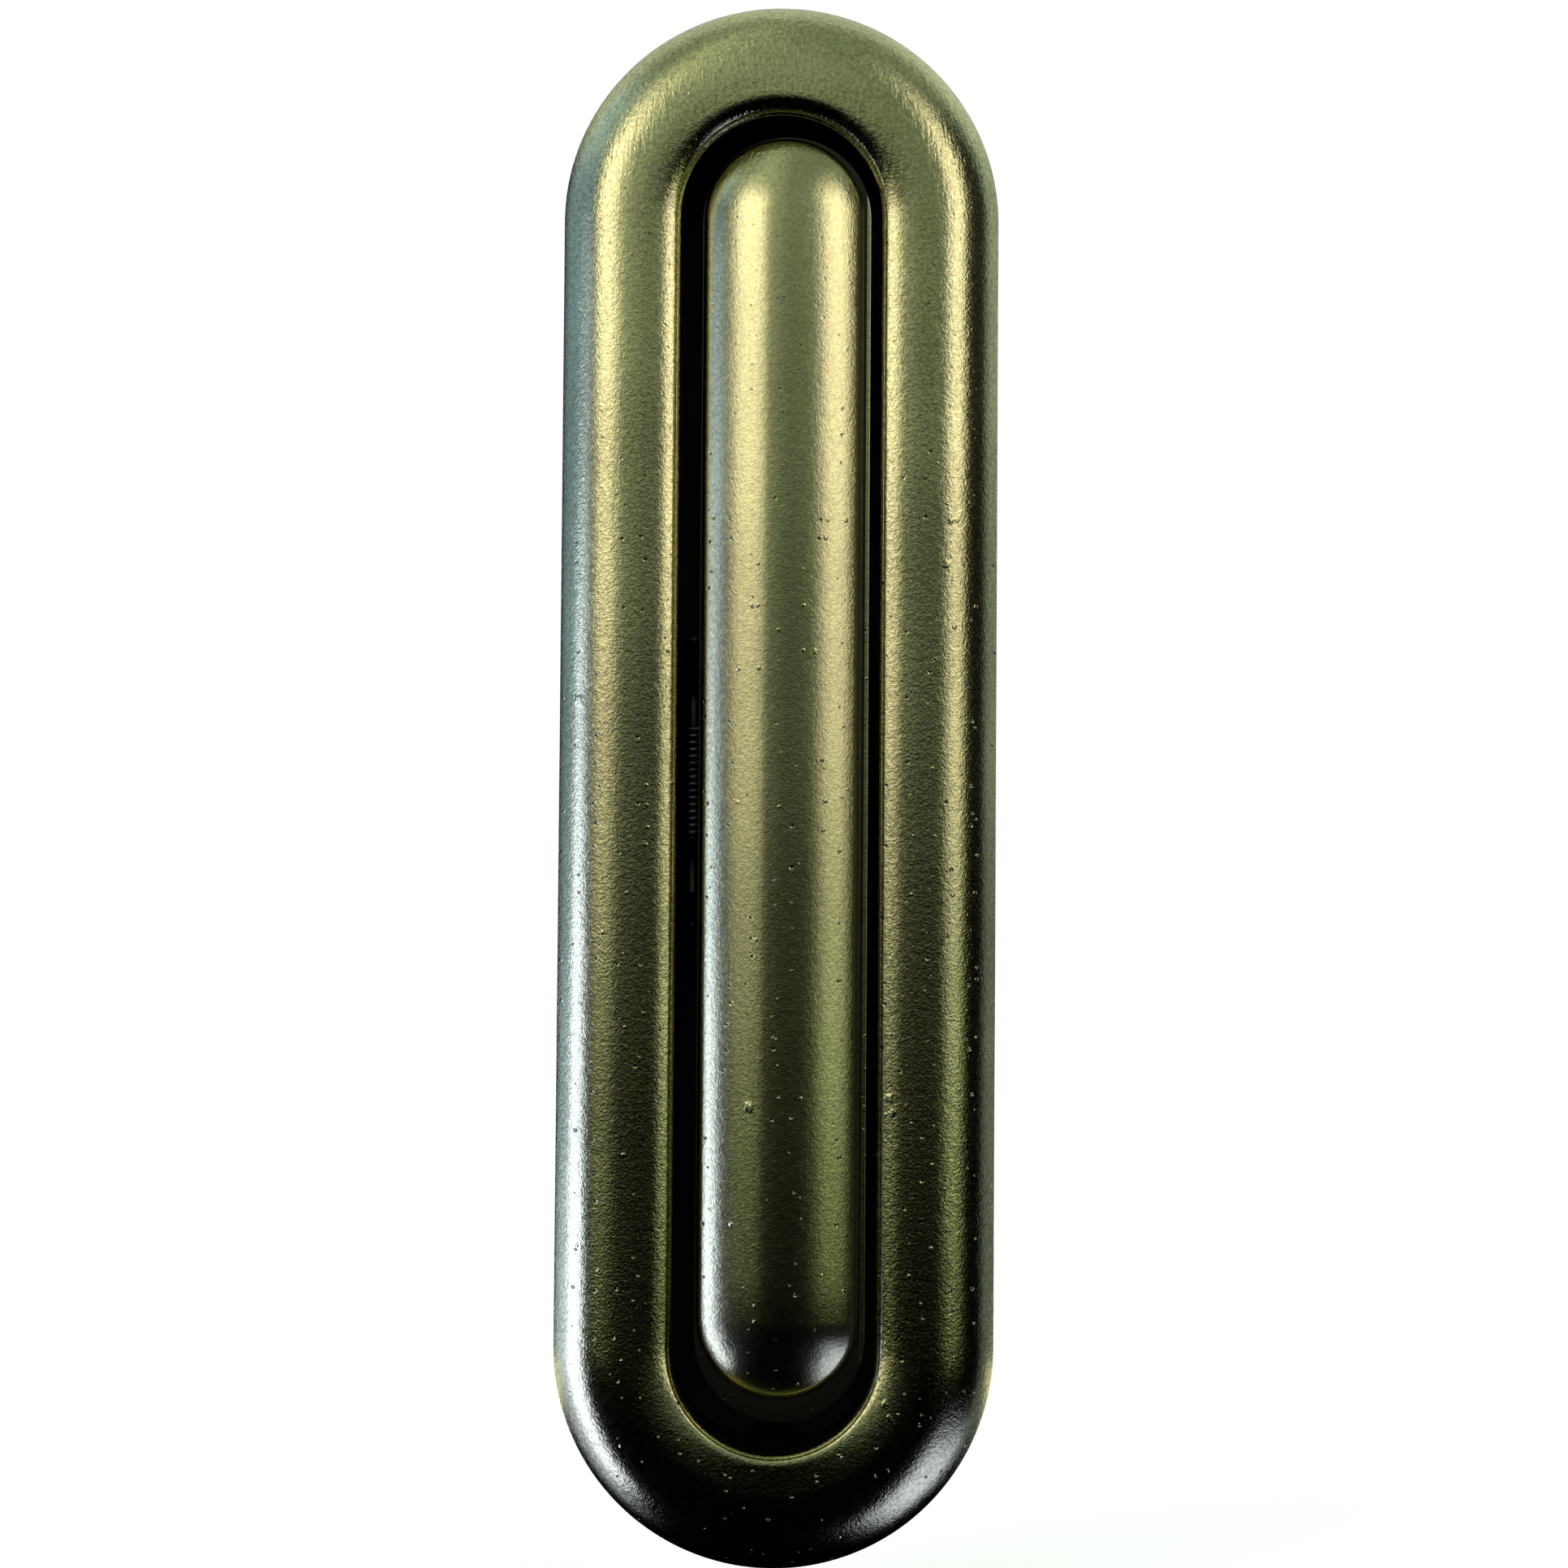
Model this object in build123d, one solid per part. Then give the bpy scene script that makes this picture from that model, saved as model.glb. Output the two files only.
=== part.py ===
from build123d import *
import math
import os

# Sizes are millimetres and angles are degrees.
# X runs to the right, Z up the door and Y into it. The door's face is the plane Y = 0.
# A height is measured from the door's face towards the room, so it is minus Y.

# Frame casting: a round-ended ring with one section all the way round
frame_length = 150.0
frame_width = 42.0
leg_width = 11.0
crest_height = 6.2
crest_inset = 7.7
crown_outer_radius = 9.0
crown_inner_radius = 6.5
lip_under_height = 3.3
lip_width = 0.4
lip_bevel = 0.25

# Hollow back of the frame and the collar that goes into the door
seat_rim_width = 2.0
hollow_rim_height = 1.8
hollow_shoulder = 2.4
shell_thickness = 2.3
lip_undercut = 1.6
collar_wall = 2.4
collar_depth = 15.2

# Bosses with tapped holes for the two fixing screws
boss_offset = 1.9
boss_radius = 3.3
boss_shoulder = 0.5
fixing_hole_radius = 1.65
fixing_hole_depth = 11.0

# Back plate, pressed into a rebate in the collar's rear edge
plate_thickness = 1.2
rebate_width = 0.8
plate_press_gap = 0.02
plate_boss_gap = 0.2

# Hinge: a pin along the left side, at mid-length
pin_wall_distance = 3.4
pin_height = -2.4
pin_radius = 1.1
pin_running_gap = 0.05
pin_overhang = 0.5
eye_radius = 2.3
frame_lug_thickness = 2.8
frame_lug_foot = 4.2
frame_lug_root = 0.6

# Flap casting: a ridged bar with round ends on a thin base rim, its free edge a little proud
flap_gap_top = 1.9
flap_gap_bottom = 4.9
flap_gap_hinge = 2.0
flap_gap_free = 1.95
rest_tilt = 4.0
crown_height = 7.6
ridge_radius = 7.0
ridge_angle = 15.0
flank_radius = 16.0
shoulder_radius = 2.4
flap_base_height = 2.55
base_rim_height = 1.0
base_rim_free = 0.85
base_rim_hinge = 0.1
base_rim_top = 0.1
base_rim_bottom = 2.1

# Hollow back of the flap, its ribs and its hinge lugs
flap_wall = 1.9
flap_roof_height = 4.45
rib_thickness = 1.4
rib_inset = 0.5
rib_shares = (-0.38, -0.23, 0.23, 0.38)
flap_lug_thickness = 1.9
flap_lug_inner_half = 7.1
flap_lug_end_gap = 0.25
flap_lug_reach = 5.0
heel_gap = 0.08
heel_rise = 0.5
spring_rib_width = 1.6
spring_rib_x = -0.6
leg_touch_gap = 0.06

# Torsion spring round the pin, close wound, so its turns are drawn as touching ridges
wire_radius = 0.34
coil_turns = 16
groove_depth = 0.2
leg_wire_radius = 0.32
coil_pin_gap = 0.2
coil_lug_gap = 0.1
fixed_leg_lean = 9.0
moving_leg_length = 9.0

slot_radius = frame_width / 2 - leg_width
straight_half = (frame_length - frame_width) / 2
collar_inner = slot_radius + lip_undercut
collar_outer = collar_inner + collar_wall
fixing_z = straight_half + collar_inner + boss_offset
pin_x = pin_wall_distance - collar_inner
plate_front = plate_thickness - collar_depth
rebate_radius = collar_inner + rebate_width
lip_radius = slot_radius - lip_width
dome_length = 2 * (straight_half + lip_radius) - flap_gap_top - flap_gap_bottom
dome_width = 2 * lip_radius - flap_gap_hinge - flap_gap_free
rim_top = flap_base_height + base_rim_height
tilt_sin = math.sin(math.radians(rest_tilt))
tilt_cos = math.cos(math.radians(rest_tilt))
tilt_drift = ((rim_top + crown_height) / 2 - pin_height) * tilt_sin
flap_shift_x = (flap_gap_hinge - flap_gap_free) / 2 + tilt_drift
flap_shift_z = (flap_gap_bottom - flap_gap_top) / 2
base_length = dome_length + base_rim_top + base_rim_bottom
base_width = dome_width + base_rim_free + base_rim_hinge
base_shift_x = flap_shift_x + (base_rim_free - base_rim_hinge) / 2
base_shift_z = flap_shift_z + (base_rim_top - base_rim_bottom) / 2
heel_reach = (pin_wall_distance - heel_gap - eye_radius * tilt_sin) / tilt_cos
coil_radius = pin_radius + coil_pin_gap + wire_radius
flap_lug_outer_half = flap_lug_inner_half + flap_lug_thickness
frame_lug_inner = flap_lug_outer_half + flap_shift_z + flap_lug_end_gap
pin_half = frame_lug_inner + frame_lug_thickness + pin_overhang


def across(z):
    """A cross-section plane at z: sketch x is X and sketch y is height; it extrudes down."""
    return Plane(origin=(0, 0, z), x_dir=(1, 0, 0), z_dir=(0, 0, -1))


def facing(height):
    """A plane that faces the room: sketch x is Z, and it extrudes towards the room."""
    return Plane(origin=(0, -height, 0), x_dir=(0, 0, 1), z_dir=(0, -1, 0))


def round_bar(length, width, low, high, shift_x=0.0, shift_z=0.0):
    """A round-ended bar between two heights."""
    outline = facing(low) * Pos(shift_z, -shift_x) * SlotOverall(length, width)
    return extrude(outline, high - low)


def post(x, z, radius, low, high):
    """A round post between two heights."""
    return extrude(facing(low) * Pos(z, -x) * Circle(radius), high - low)


def block(x_from, x_to, low, high, top_z, depth):
    """A box that runs down from top_z, given by its X span and its heights."""
    middle = Pos((x_from + x_to) / 2, (low + high) / 2)
    return extrude(across(top_z) * middle * Rectangle(x_to - x_from, high - low), depth)


def gusset(x_from, x_to, low, high, top_z, depth):
    """A plate drawn tight round the hinge eye and a rectangle."""
    middle = Pos((x_from + x_to) / 2, (low + high) / 2)
    root = middle * Rectangle(x_to - x_from, high - low)
    eye = Pos(pin_x, pin_height) * Circle(eye_radius)
    outline = make_hull(root.edges() + eye.edges())
    return extrude(across(top_z) * outline, depth)


def rod(radius, top_z, depth):
    """A round rod on the hinge axis, running down from top_z."""
    return extrude(across(top_z) * Pos(pin_x, pin_height) * Circle(radius), depth)


def tilt(piece):
    """Turn what moves with the flap to its rest, where a heel stops it."""
    return piece.rotate(Axis((pin_x, -pin_height, 0), (0, 0, 1)), -rest_tilt)


def falling_arc(start, radius, from_angle, to_angle):
    """An arc that falls from start while its slope grows from one angle to another."""
    points = []
    for share in (0, 0.5, 1):
        slope = math.radians(from_angle + share * (to_angle - from_angle))
        run = radius * (math.sin(slope) - math.sin(math.radians(from_angle)))
        drop = radius * (math.cos(math.radians(from_angle)) - math.cos(slope))
        points.append((start.X + run, start.Y - drop))
    return ThreePointArc(*points)


def crown_arc(crest, edge, radius):
    """An arc of the frame's section that falls from the crest to an edge."""
    points = []
    for share in (0, 0.5, 1):
        run = share * (edge - crest)
        drop = radius - math.sqrt(radius**2 - run**2)
        points.append((crest + run, crest_height - drop))
    return ThreePointArc(*points)


def ring_section():
    """The frame's section: sketch x is the distance from the end centres."""
    crest = frame_width / 2 - crest_inset
    inner = crown_arc(crest, slot_radius, crown_inner_radius)
    outer = crown_arc(crest, frame_width / 2, crown_outer_radius)
    roof = crest_height - shell_thickness
    hollow_edge = frame_width / 2 - seat_rim_width
    back = Polyline(
        outer @ 1,
        (frame_width / 2, 0),
        (hollow_edge, 0),
        (hollow_edge, hollow_rim_height),
        (hollow_edge - hollow_shoulder, roof),
        (collar_outer, roof),
        (collar_outer, -collar_depth),
        (rebate_radius, -collar_depth),
        (rebate_radius, plate_front),
        (collar_inner, plate_front),
        (collar_inner, lip_under_height),
        (lip_radius, lip_under_height),
        (lip_radius, (inner @ 1).Y - lip_bevel),
        inner @ 1,
    )
    return make_face([inner, outer, back])


def carry(section, straight):
    """Carry a half section down both sides of a round-ended bar and round both ends."""
    placed = across(straight) * section
    side = extrude(placed, 2 * straight)
    top = revolve(placed, Axis((0, 0, straight), (0, -1, 0)), 180)
    return side + mirror(side, Plane.YZ) + top + mirror(top, Plane.XY)


def make_frame():
    body = carry(ring_section(), straight_half)
    for end in (-1, 1):
        z = end * fixing_z
        roof = crest_height - shell_thickness
        body += post(0, z, boss_radius, -collar_depth, roof)
        body += post(0, z, boss_radius + boss_shoulder, plate_front, roof)
        lug_top = frame_lug_inner + frame_lug_thickness if end > 0 else -frame_lug_inner
        body += gusset(
            -collar_inner - frame_lug_root,
            -collar_inner + frame_lug_root,
            pin_height - frame_lug_foot,
            lip_under_height,
            lug_top,
            frame_lug_thickness,
        )
        hole_end = fixing_hole_depth - collar_depth
        body -= post(0, z, fixing_hole_radius, -collar_depth, hole_end)
    return body - rod(pin_radius, pin_half, 2 * pin_half)


def make_plate():
    radius = rebate_radius - plate_press_gap
    plate = round_bar(2 * (straight_half + radius), 2 * radius, -collar_depth, plate_front)
    for end in (-1, 1):
        z = end * fixing_z
        plate -= post(0, z, boss_radius + plate_boss_gap, -collar_depth, plate_front)
    return plate


def make_dome():
    """The flap's front: a soft ridge, a flank and a rounded shoulder, carried round."""
    half = dome_width / 2
    ridge_run = (flank_radius - ridge_radius) * math.sin(math.radians(ridge_angle))
    flank_sin = (half - shoulder_radius + ridge_run) / (flank_radius - shoulder_radius)
    flank_angle = math.degrees(math.asin(flank_sin))
    ridge = falling_arc(Vector(0, crown_height), ridge_radius, 0, ridge_angle)
    flank = falling_arc(ridge @ 1, flank_radius, ridge_angle, flank_angle)
    shoulder = falling_arc(flank @ 1, shoulder_radius, flank_angle, 90)
    sides = Polyline(
        shoulder @ 1, (half, -crown_height), (0, -crown_height), (0, crown_height)
    )
    arch = make_face([ridge, flank, shoulder, sides])
    middle = Pos(half / 2, (rim_top + crown_height) / 2)
    section = arch & (middle * Rectangle(half, crown_height - rim_top))
    shift = Pos(flap_shift_x, 0, flap_shift_z)
    return shift * carry(section, (dome_length - dome_width) / 2)


def make_flap():
    flap = make_dome()
    flap += round_bar(
        base_length, base_width, flap_base_height, rim_top, base_shift_x, base_shift_z
    )
    flap -= round_bar(
        dome_length - 2 * flap_wall,
        dome_width - 2 * flap_wall,
        flap_base_height,
        flap_roof_height,
        flap_shift_x,
        flap_shift_z,
    )
    left = flap_shift_x - dome_width / 2
    right = flap_shift_x + dome_width / 2
    for share in rib_shares:
        low = flap_base_height + rib_inset
        top = flap_shift_z + share * dome_length + rib_thickness / 2
        flap += block(
            left + flap_wall / 2,
            right - flap_wall / 2,
            low,
            flap_roof_height,
            top,
            rib_thickness,
        )
    spring_rib_low = pin_height + coil_radius + wire_radius + leg_touch_gap
    flap += block(
        spring_rib_x - spring_rib_width / 2,
        spring_rib_x + spring_rib_width / 2,
        spring_rib_low,
        flap_roof_height,
        flap_shift_z + flap_lug_inner_half,
        2 * flap_lug_inner_half,
    )
    for top in (flap_lug_outer_half, -flap_lug_inner_half):
        z = flap_shift_z + top
        flap += gusset(
            left + flap_wall / 2,
            left + flap_wall / 2 + flap_lug_reach,
            flap_base_height,
            flap_roof_height,
            z,
            flap_lug_thickness,
        )
        flap += block(
            pin_x - heel_reach,
            pin_x,
            pin_height + heel_rise,
            pin_height + eye_radius,
            z,
            flap_lug_thickness,
        )
    hole_top = flap_shift_z + flap_lug_outer_half
    return tilt(flap - rod(pin_radius + pin_running_gap, hole_top, 2 * flap_lug_outer_half))


def make_pin():
    return rod(pin_radius, pin_half, 2 * pin_half)


def wire_between(start, end):
    """A straight length of spring wire."""
    run = end - start
    return extrude(Plane(origin=start, z_dir=run) * Circle(leg_wire_radius), run.length)


def make_spring():
    """The coil as a ridged sleeve, with one leg on the frame and one under the flap."""
    pitch = 2 * wire_radius
    coil_start = flap_shift_z - flap_lug_inner_half + coil_lug_gap
    crest = coil_radius + wire_radius
    profile = [(coil_radius - wire_radius, 0)]
    for turn in range(coil_turns):
        profile.append((crest - groove_depth, turn * pitch))
        profile.append((crest, (turn + 0.5) * pitch))
    profile.append((crest - groove_depth, coil_turns * pitch))
    profile.append((coil_radius - wire_radius, coil_turns * pitch))
    half_section = Plane.XZ * make_face(Polyline(*profile, close=True))
    coil = Pos(pin_x, -pin_height, coil_start) * revolve(half_section, Axis.Z)

    lean = math.radians(fixed_leg_lean)
    fixed_x = pin_x - coil_radius * math.cos(lean)
    fixed_height = pin_height + coil_radius * math.sin(lean)
    wall_x = -collar_inner + wire_radius + leg_touch_gap
    drop = (fixed_x - wall_x) / math.tan(lean)
    fixed_z = coil_start + wire_radius
    fixed_top = Vector(fixed_x, -fixed_height, fixed_z)
    fixed_foot = Vector(wall_x, drop - fixed_height, fixed_z)
    moving_z = coil_start + coil_turns * pitch - wire_radius
    moving_root = Vector(pin_x, -pin_height - coil_radius, moving_z)
    moving_tip = moving_root + Vector(moving_leg_length, 0, 0)
    moving_leg = tilt(wire_between(moving_root, moving_tip))
    return coil + wire_between(fixed_top, fixed_foot) + moving_leg


nodes = {
    "bezel_frame": make_frame,
    "pull_flap": make_flap,
    "hinge_pin": make_pin,
    "return_spring": make_spring,
    "back_plate": make_plate,
}

os.makedirs("parts", exist_ok=True)
for name, make in nodes.items():
    export_step(make(), f"parts/{name}.step")
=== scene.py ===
import math

import bmesh
import bpy
from mathutils import Matrix, Quaternion, Vector, noise


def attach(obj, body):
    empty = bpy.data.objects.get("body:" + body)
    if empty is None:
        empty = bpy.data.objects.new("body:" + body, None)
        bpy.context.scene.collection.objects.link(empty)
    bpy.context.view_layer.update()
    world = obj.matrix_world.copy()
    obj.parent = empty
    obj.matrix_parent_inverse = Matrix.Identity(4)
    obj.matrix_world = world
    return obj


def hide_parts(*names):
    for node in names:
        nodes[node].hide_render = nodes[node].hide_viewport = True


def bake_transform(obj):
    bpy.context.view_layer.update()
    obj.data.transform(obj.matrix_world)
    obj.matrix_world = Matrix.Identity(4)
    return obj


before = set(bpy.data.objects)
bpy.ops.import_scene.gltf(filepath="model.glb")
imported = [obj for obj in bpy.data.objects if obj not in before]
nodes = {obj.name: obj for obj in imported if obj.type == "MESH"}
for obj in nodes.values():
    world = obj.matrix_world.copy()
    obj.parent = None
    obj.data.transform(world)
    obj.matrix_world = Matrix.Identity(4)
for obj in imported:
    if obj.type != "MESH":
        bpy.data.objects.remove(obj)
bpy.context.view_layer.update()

MM = 0.001

# What the scene adds to the castings, in millimetres: the frame's worn lip and flatter ends, and the flap's
# tighter shoulders, wider free edge and eased ends. Its crown is 0.01 lower, to stay in the part's box.
LIP_GROOVE = 0.06
LIP_GROOVE_DEPTH = 0.16
LIP_WEAR = 0.44
LIP_FLAT = 0.04
LIP_BREAK = 0.02
LIP_END_RISE = 0.28
END_CREST_RADIUS = 10.45
END_ROLL_RADIUS = 1.0
UPPER_CREST_RADIUS = 11.5
UPPER_ROLL_RADIUS = 2.0
CROWN_HEIGHT = 7.59
SHOULDER_RADIUS = 1.75
FREE_EDGE_OUT = 0.25
EASE_LENGTH = 11.0
EASE_DROP = 0.4
FRAME_WANDER = 0.012
FRAME_WANDER_LENGTH = 14.0
FLAP_WANDER = 0.010
FLAP_WANDER_LENGTH = 11.0

# The part's own sizes, in millimetres. A height is minus Y.
FRAME_RADIUS = 21.0
STRAIGHT_HALF = 54.0
SLOT_RADIUS = 10.0
LIP_RADIUS = 9.6
LIP_UNDER = 3.3
LIP_BEVEL = 0.25
CREST_RADIUS = 13.3
CREST_HEIGHT = 6.2
CROWN_OUTER = 9.0
CROWN_INNER = 6.5
COLLAR_INNER = 11.6
COLLAR_OUTER = 14.0
COLLAR_DEPTH = 15.2
REBATE_RADIUS = 12.4
PLATE_FRONT = -14.0
HOLLOW_ROOF = 3.9
SEAT_INNER = 19.0
HOLLOW_RIM = 1.8
HOLLOW_SHOULDER = 2.4
FIXING_Z = 67.5
BOSS_RADIUS = 3.3
BOSS_SHOULDER = 0.5
FIXING_HOLE_RADIUS = 1.65
FIXING_HOLE_DEPTH = 11.0
PIN_X = -8.2
PIN_HEIGHT = -2.4
PIN_RADIUS = 1.1
EYE_RADIUS = 2.3
FRAME_LUG_INNER = 10.75
FRAME_LUG_OUTER = 13.55
FRAME_LUG_FOOT = 4.2
FRAME_LUG_ROOT = 0.6
REST_TILT = 4.0
RIDGE_RADIUS = 7.0
RIDGE_ANGLE = 15.0
FLANK_RADIUS = 16.0
DOME_LENGTH = 120.4
DOME_WIDTH = 15.25
FLAP_BASE = 2.55
RIM_TOP = 3.55
FLAP_ROOF = 4.45
FLAP_WALL = 1.9
FLAP_SHIFT_Z = 1.5
FLAP_DRIFT = ((RIM_TOP + CROWN_HEIGHT) / 2 - PIN_HEIGHT) * math.sin(math.radians(REST_TILT))
FLAP_SHIFT_X = 0.025 + FLAP_DRIFT
BASE_LENGTH = 122.6
BASE_WIDTH = 16.2
BASE_SHIFT_Z = 0.5
BASE_SHIFT_X = FLAP_SHIFT_X + 0.375
RIB_SHARES = (-0.38, -0.23, 0.23, 0.38)
RIB_THICKNESS = 1.4
RIB_INSET = 0.5
FLAP_LUG_THICKNESS = 1.9
FLAP_LUG_INNER = 7.1
FLAP_LUG_REACH = 5.0
HEEL_REACH = 3.167
HEEL_RISE = 0.5
SPRING_RIB_X = -0.6
SPRING_RIB_WIDTH = 1.6
SPRING_RIB_LOW = -0.36
HOLE_RADIUS = 1.15
COIL_RADIUS = 1.64
COIL_LOW = -5.5
COIL_HIGH = 5.38
COIL_HALF_PITCH = 0.34
WIRE_RADIUS = 0.33
FIXED_LEG_ANGLE = 189.0
FIXED_LEG_DROP = 10.15
MOVING_LEG = 9.0

# How far a piece bites into what it joins, and a cut reaches past what it cuts
BOSS_BITE = 0.3
LUG_BITE = 0.05
RIB_BITE = 0.2
DOME_BITE = 0.4
CUT_PAST = 0.5
PIN_HOLE_REACH = 14.2
FLAP_HOLE_PAST = 3.0

# Fineness of the meshes
SHARP_ANGLE = 35.0
ARC_STEPS = 72
RIM_ARC_STEPS = 60
POCKET_ARC_STEPS = 40
FRAME_RUN_STEPS = 44
FLAP_RUN_STEPS = 60
COIL_TURNS = 15
TURN_STEPS = 28
LEG_STEPS = 6
WIRE_SIDES = 14


# Mesh building

def finish_mesh(bm, name):
    """Turn a bmesh in millimetres into a smooth-shaded object in metres."""
    bmesh.ops.remove_doubles(bm, verts=bm.verts, dist=1e-5)
    bmesh.ops.dissolve_degenerate(bm, edges=bm.edges, dist=1e-6)
    bmesh.ops.recalc_face_normals(bm, faces=bm.faces)
    bmesh.ops.scale(bm, vec=(MM, MM, MM), verts=bm.verts)
    mesh = bpy.data.meshes.new(name)
    bm.to_mesh(mesh)
    bm.free()
    mesh.shade_smooth()
    mesh.set_sharp_from_angle(angle=math.radians(SHARP_ANGLE))
    obj = bpy.data.objects.new(name, mesh)
    bpy.context.scene.collection.objects.link(obj)
    return obj


def stations(straight, arc_steps, run_steps):
    """Places round a round-ended track: end centre's z, and the outward direction."""
    found = []
    for side in (1, -1):
        for i in range(run_steps):
            found.append((side * straight * (2 * i / run_steps - 1), side, 0.0))
        for i in range(arc_steps):
            turn = math.pi * i / arc_steps
            found.append((side * straight, side * math.cos(turn), side * math.sin(turn)))
    return found


def carry(section, straight, arc_steps, run_steps, closed, shift_x=0.0, shift_z=0.0, lift=None):
    """Carry a section of (distance from the axis, height) round a round-ended track.

    lift gives what is added to a point's height, from its place in the section and along the track.
    """
    bm = bmesh.new()
    rings = []
    for centre, out_x, out_z in stations(straight, arc_steps, run_steps):
        ring = []
        for radius, height in section:
            along = centre + radius * out_z
            raised = height + lift(radius, height, out_z, along) if lift else height
            ring.append(bm.verts.new((shift_x + radius * out_x, -raised, shift_z + along)))
        rings.append(ring)
    count = len(section)
    for ring, after in zip(rings, rings[1:] + rings[:1]):
        for j in range(count if closed else count - 1):
            k = (j + 1) % count
            bm.faces.new((ring[j], ring[k], after[k], after[j]))
    return bm


def prism(outline, low_z, high_z):
    """Extrude an outline of (x, height) between two z."""
    bm = bmesh.new()
    ends = [[bm.verts.new((x, -h, z)) for x, h in outline] for z in (low_z, high_z)]
    for j in range(len(outline)):
        k = (j + 1) % len(outline)
        bm.faces.new((ends[0][j], ends[0][k], ends[1][k], ends[1][j]))
    for end in ends:
        bm.faces.new(end)
    return bm


def circle(x, y, radius, steps=48):
    """Points round a circle."""
    turns = [2 * math.pi * i / steps for i in range(steps)]
    return [(x + radius * math.cos(t), y + radius * math.sin(t)) for t in turns]


def rectangle(x_from, x_to, low, high):
    """The four corners of a rectangle."""
    return [(x_from, low), (x_to, low), (x_to, high), (x_from, high)]


def hull(points):
    """The convex outline round some points."""
    points = sorted(set(points))

    def half(order):
        chain = []
        for p in order:
            while len(chain) > 1:
                (ax, ay), (bx, by) = chain[-2:]
                if (bx - ax) * (p[1] - ay) - (by - ay) * (p[0] - ax) > 0:
                    break
                chain.pop()
            chain.append(p)
        return chain[:-1]

    return half(points) + half(points[::-1])


def post(z, radius, low, high):
    """A round post between two heights, on the axis at z."""
    bm = bmesh.new()
    outline = circle(0.0, z, radius)
    ends = [[bm.verts.new((x, -h, y)) for x, y in outline] for h in (low, high)]
    for j in range(len(outline)):
        k = (j + 1) % len(outline)
        bm.faces.new((ends[0][j], ends[0][k], ends[1][k], ends[1][j]))
    for end in ends:
        bm.faces.new(end)
    return bm


def joined(name, pieces):
    """One object from several bmeshes."""
    whole = bmesh.new()
    for bm in pieces:
        mesh = bpy.data.meshes.new("piece")
        bmesh.ops.recalc_face_normals(bm, faces=bm.faces)
        bm.to_mesh(mesh)
        bm.free()
        whole.from_mesh(mesh)
        bpy.data.meshes.remove(mesh)
    return finish_mesh(whole, name)


def combine(obj, operation, tool):
    """Join a tool to an object, or cut it away, and drop the tool."""
    change = obj.modifiers.new("combine", "BOOLEAN")
    change.operation = operation
    change.solver = "EXACT"
    change.use_self = True
    change.object = tool
    bpy.context.view_layer.update()
    done = obj.evaluated_get(bpy.context.evaluated_depsgraph_get())
    mesh = bpy.data.meshes.new_from_object(done)
    obj.modifiers.clear()
    old = obj.data
    mesh.name = old.name
    obj.data = mesh
    bpy.data.meshes.remove(old)
    bpy.data.objects.remove(tool)


def soften(corners, step, passes, closed=True):
    """Resample an outline evenly and round its corners a little, as a casting's are."""
    points = []
    ends = corners[1:] + corners[:1] if closed else corners[1:]
    for (ax, ay), (bx, by) in zip(corners, ends):
        count = max(1, round(math.hypot(bx - ax, by - ay) / step))
        points += [(ax + (bx - ax) * i / count, ay + (by - ay) * i / count) for i in range(count)]
    if not closed:
        points.append(corners[-1])
    for _ in range(passes):
        before = points[-1:] + points[:-1]
        after = points[1:] + points[:1]
        mixed = [
            ((a[0] + 2 * p[0] + b[0]) / 4, (a[1] + 2 * p[1] + b[1]) / 4)
            for a, p, b in zip(before, points, after)
        ]
        if not closed:
            mixed[0], mixed[-1] = points[0], points[-1]
        points = mixed
    return points


def thin(points, closed, fine):
    """Keep the points where an outline turns. fine says where it is seen closely."""
    kept = [points[0]]
    turned = 0.0
    count = len(points)
    for i in range(1, count if closed else count - 1):
        p, q, r = points[i - 1], points[i], points[(i + 1) % count]
        first = math.atan2(q[1] - p[1], q[0] - p[0])
        second = math.atan2(r[1] - q[1], r[0] - q[0])
        turned += abs((second - first + math.pi) % (2 * math.pi) - math.pi)
        gone = math.hypot(q[0] - kept[-1][0], q[1] - kept[-1][1])
        most_turn, most_run = (4.0, 0.8) if fine(q) else (12.0, 5.0)
        if turned > math.radians(most_turn) or gone > most_run:
            kept.append(q)
            turned = 0.0
    if not closed:
        kept.append(points[-1])
    return kept


def falling_arc(start, radius, from_angle, to_angle, steps):
    """Points of an arc that falls from start while its slope grows."""
    points = []
    base = math.radians(from_angle)
    for i in range(steps + 1):
        slope = base + math.radians(to_angle - from_angle) * i / steps
        run = radius * (math.sin(slope) - math.sin(base))
        drop = radius * (math.cos(base) - math.cos(slope))
        points.append((start[0] + run, start[1] - drop))
    return points


def wander(obj, depth, length, seed):
    """Let a casting's faces wander a little inwards, so that its reflections are not perfect."""
    for v in obj.data.vertices:
        place = v.co / length + Vector((seed, 0.0, 0.0))
        v.co += v.normal * (noise.noise(place) - 1.0) * depth
    obj.data.update()


# Frame casting

def crown(edge, radius, steps):
    """Points of the frame's front from the crest to an edge."""
    points = []
    for i in range(1, steps + 1):
        run = (edge - CREST_RADIUS) * i / steps
        drop = radius - math.sqrt(radius**2 - run**2)
        points.append((CREST_RADIUS + run, CREST_HEIGHT - drop))
    return points


def worn_lip(edge):
    """Points of the lip round the slot, from its inner wall to the groove beside it."""
    outer = SLOT_RADIUS - LIP_GROOVE
    top = edge - LIP_GROOVE
    return [
        (LIP_RADIUS, top - LIP_WEAR),
        (outer - LIP_FLAT, top),
        (outer, top - LIP_BREAK),
        (SLOT_RADIUS - LIP_GROOVE / 2, top - LIP_GROOVE_DEPTH),
        (SLOT_RADIUS, edge - LIP_GROOVE),
    ]


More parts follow.
